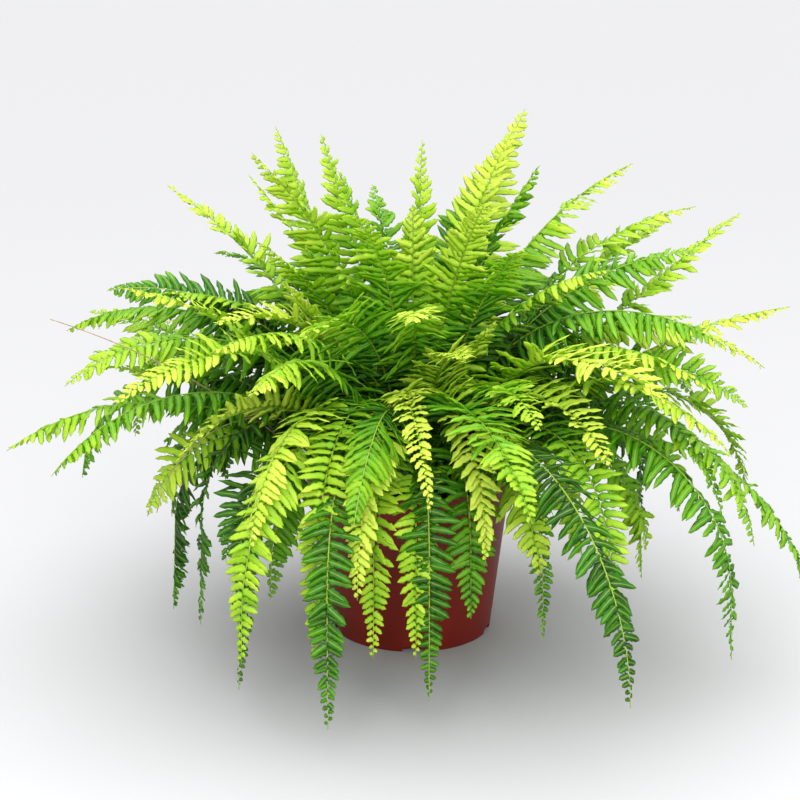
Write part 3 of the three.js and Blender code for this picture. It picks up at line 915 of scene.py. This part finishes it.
def make_pot():
    """The pot, turned from its profile, with the slots cut through its lower edge."""
    profile = rounded(
        [
            (0, BASE_LIFT),
            (BASE_RADIUS - BASE_RING - BASE_SLOPE, BASE_LIFT),
            (BASE_RADIUS - BASE_RING, 0),
            (BASE_RADIUS, 0),
            (BODY_RADIUS, BODY_HEIGHT),
            (COLLAR_RADIUS, COLLAR_Z),
            (RIM_RADIUS - LIP_STEP, POT_HEIGHT - LIP),
            (RIM_RADIUS, POT_HEIGHT - LIP + LIP_SLOPE),
            (RIM_RADIUS, POT_HEIGHT),
            (RIM_RADIUS - WALL, POT_HEIGHT),
            (COLLAR_RADIUS - WALL, COLLAR_Z + WALL),
            (BODY_RADIUS - WALL, BODY_HEIGHT + WALL),
            (BASE_RADIUS - WALL, FLOOR),
            (0, FLOOR),
        ]
    )
    mesh = lathe("fern_pot", profile, POT_SEGMENTS)
    piece = add("fern_pot", mesh, POT, "pot")
    cutter = bpy.data.objects.new("slots", slot_cutters())
    bpy.context.scene.collection.objects.link(cutter)
    cut = piece.modifiers.new("slots", "BOOLEAN")
    cut.object, cut.operation, cut.solver = cutter, "DIFFERENCE", "EXACT"
    bpy.context.view_layer.update()
    done = bpy.data.meshes.new_from_object(piece.evaluated_get(bpy.context.evaluated_depsgraph_get()))
    piece.modifiers.clear()
    piece.data = done
    bpy.data.objects.remove(cutter)
    done.shade_smooth()
    done.set_sharp_from_angle(angle=radians(SHARP_FROM))


def soil_height(reach, edge):
    """The soil's height at a distance from the middle, where it ends at edge."""
    shoulder, shoulder_z = SOIL_SHOULDER
    return float(np.interp(reach, (0, shoulder, edge), (SOIL_CENTRE_Z, shoulder_z, SOIL_EDGE_Z)))


def with_crumbs(soil, rng):
    """The soil's mesh with loose crumbs of peat and bark half sunk in its top."""
    corners = [tuple(vertex.co) for vertex in soil.vertices]
    faces = [tuple(polygon.vertices) for polygon in soil.polygons]
    for _ in range(CRUMB_COUNT):
        reach = CRUMB_REACH * math.sqrt(rng.uniform())
        angle = rng.uniform(0, 2 * math.pi)
        stretch = rng.uniform(*CRUMB_SIZE) * rng.uniform(*CRUMB_STRETCH, 3)
        spin = Matrix.Rotation(rng.uniform(0, math.pi), 3, "Z")
        turn = spin @ Matrix.Rotation(rng.uniform(0, math.pi), 3, "X")
        height = soil_height(reach, CRUMB_REACH)
        middle = Vector((reach * math.cos(angle), reach * math.sin(angle), height))
        base = len(corners)
        for axis in range(3):
            for sign in (1, -1):
                spike = Vector((0, 0, 0))
                spike[axis] = sign * stretch[axis]
                corners.append(tuple((middle + turn @ spike) * MM))
        faces.extend(tuple(base + corner for corner in face) for face in CRUMB_FACES)
    mesh = bpy.data.meshes.new("fern_soil")
    mesh.from_pydata(corners, [], faces)
    return mesh


def make_soil():
    """The soil: a turned block with a slightly domed, uneven top and loose crumbs on it."""
    rng = np.random.default_rng(SOIL_SEED)
    edge = COLLAR_RADIUS - WALL - SOIL_EDGE_GAP
    profile = [
        (0, FLOOR + SOIL_GAP),
        (BASE_RADIUS - WALL - SOIL_GAP, FLOOR + SOIL_GAP),
        (BODY_RADIUS - WALL - SOIL_GAP, BODY_HEIGHT + WALL),
        (COLLAR_RADIUS - WALL - SOIL_GAP, COLLAR_Z + WALL + SOIL_GAP),
        (edge, SOIL_EDGE_Z),
    ]
    for i in range(1, SOIL_RINGS):
        r = edge * (1 - i / SOIL_RINGS)
        profile.append((r, soil_height(r, COLLAR_RADIUS)))
    profile.append((0, SOIL_CENTRE_Z))
    mesh = lathe("fern_soil", profile, SOIL_SEGMENTS)
    for vertex in mesh.vertices:
        if vertex.co.z > SOIL_TOP_FROM * MM:
            vertex.co.z += rng.uniform(*SOIL_RELIEF) * MM
    mesh = with_crumbs(mesh, rng)
    mesh.shade_smooth()
    add("fern_soil", mesh, SOIL, "soil")


def make_runner(index, row):
    """One wiry leafless stem."""
    azimuth, launch, bend, length, sweep = row
    runner = Frond(azimuth, launch, bend, length, sweep, root=out_from_middle(azimuth, RUNNER_REACH))
    frames, shares = foot_frames(runner, curve_of(runner))
    parts = MeshParts()
    half = RUNNER_RADIUS * (1 - RUNNER_TAPER * shares)
    tube(parts, frames, half, half, RUNNER_SIDES, shares)
    name = f"fern_runner_{index}"
    add(name, parts.mesh(name), RUNNER, f"runner_{index}")


def place_light(light, place, turn):
    lamp = bpy.data.objects.new(light.name, light)
    lamp.location = place
    lamp.rotation_euler = [radians(angle) for angle in turn]
    bpy.context.scene.collection.objects.link(lamp)


def make_stage():
    """A plain pale floor, an even sky and the two lights."""
    floor = bpy.data.meshes.new("floor")
    signs = ((-1, -1), (1, -1), (1, 1), (-1, 1))
    floor.from_pydata([(x * FLOOR_REACH, y * FLOOR_REACH, 0) for x, y in signs], [], [(0, 1, 2, 3)])
    piece = bpy.data.objects.new("floor", floor)
    bpy.context.scene.collection.objects.link(piece)
    material, _, _, shader = new_material("pale_floor")
    shader.inputs["Base Color"].default_value = FLOOR_COLOUR
    shader.inputs["Roughness"].default_value = 0.9
    floor.materials.append(material)
    world = bpy.data.worlds.new("studio")
    bpy.context.scene.world = world
    world.use_nodes = True
    background = world.node_tree.nodes["Background"]
    background.inputs["Color"].default_value = WORLD_COLOUR
    background.inputs["Strength"].default_value = WORLD_STRENGTH
    overhead = bpy.data.lights.new("overhead", "SUN")
    overhead.energy = OVERHEAD["strength"]
    overhead.angle = radians(OVERHEAD["spread"])
    place_light(overhead, (0, 0, 1), OVERHEAD["turn"])
    front = bpy.data.lights.new("front", "AREA")
    front.energy = FRONT["power"]
    front.size = FRONT["size"]
    place_light(front, FRONT["place"], FRONT["turn"])
    bpy.context.scene.view_settings.view_transform = "Standard"


def make_camera():
    data = bpy.data.cameras.new("camera")
    data.sensor_width = CAMERA_SENSOR
    data.lens = CAMERA_LENS
    camera = bpy.data.objects.new("camera", data)
    camera.location = CAMERA_PLACE
    camera.rotation_euler = (radians(90 - CAMERA_PITCH), 0, 0)
    bpy.context.scene.collection.objects.link(camera)
    bpy.context.scene.camera = camera


def make_fronds():
    """Every frond, each in place of the solid that has a corner at its tip."""
    fronds = all_fronds()
    place_roots(fronds)
    tree, owners = corner_tree()
    for number, frond in enumerate(fronds):
        tip = curve_of(frond)[0][-1] * MM
        _, corner, distance = tree.find(tip)
        if distance > TIP_TOLERANCE * MM:
            raise ValueError(f"no solid ends at the tip of frond {number}: {distance}")
        make_frond(number, frond, owners[corner])


make_camera()
make_stage()
LEAF, POT, SOIL, RUNNER = leaf_material(), pot_material(), soil_material(), runner_material()
make_pot()
make_soil()
make_fronds()
for number, row in enumerate(RUNNERS, 1):
    make_runner(number, row)

bpy.context.view_layer.update()
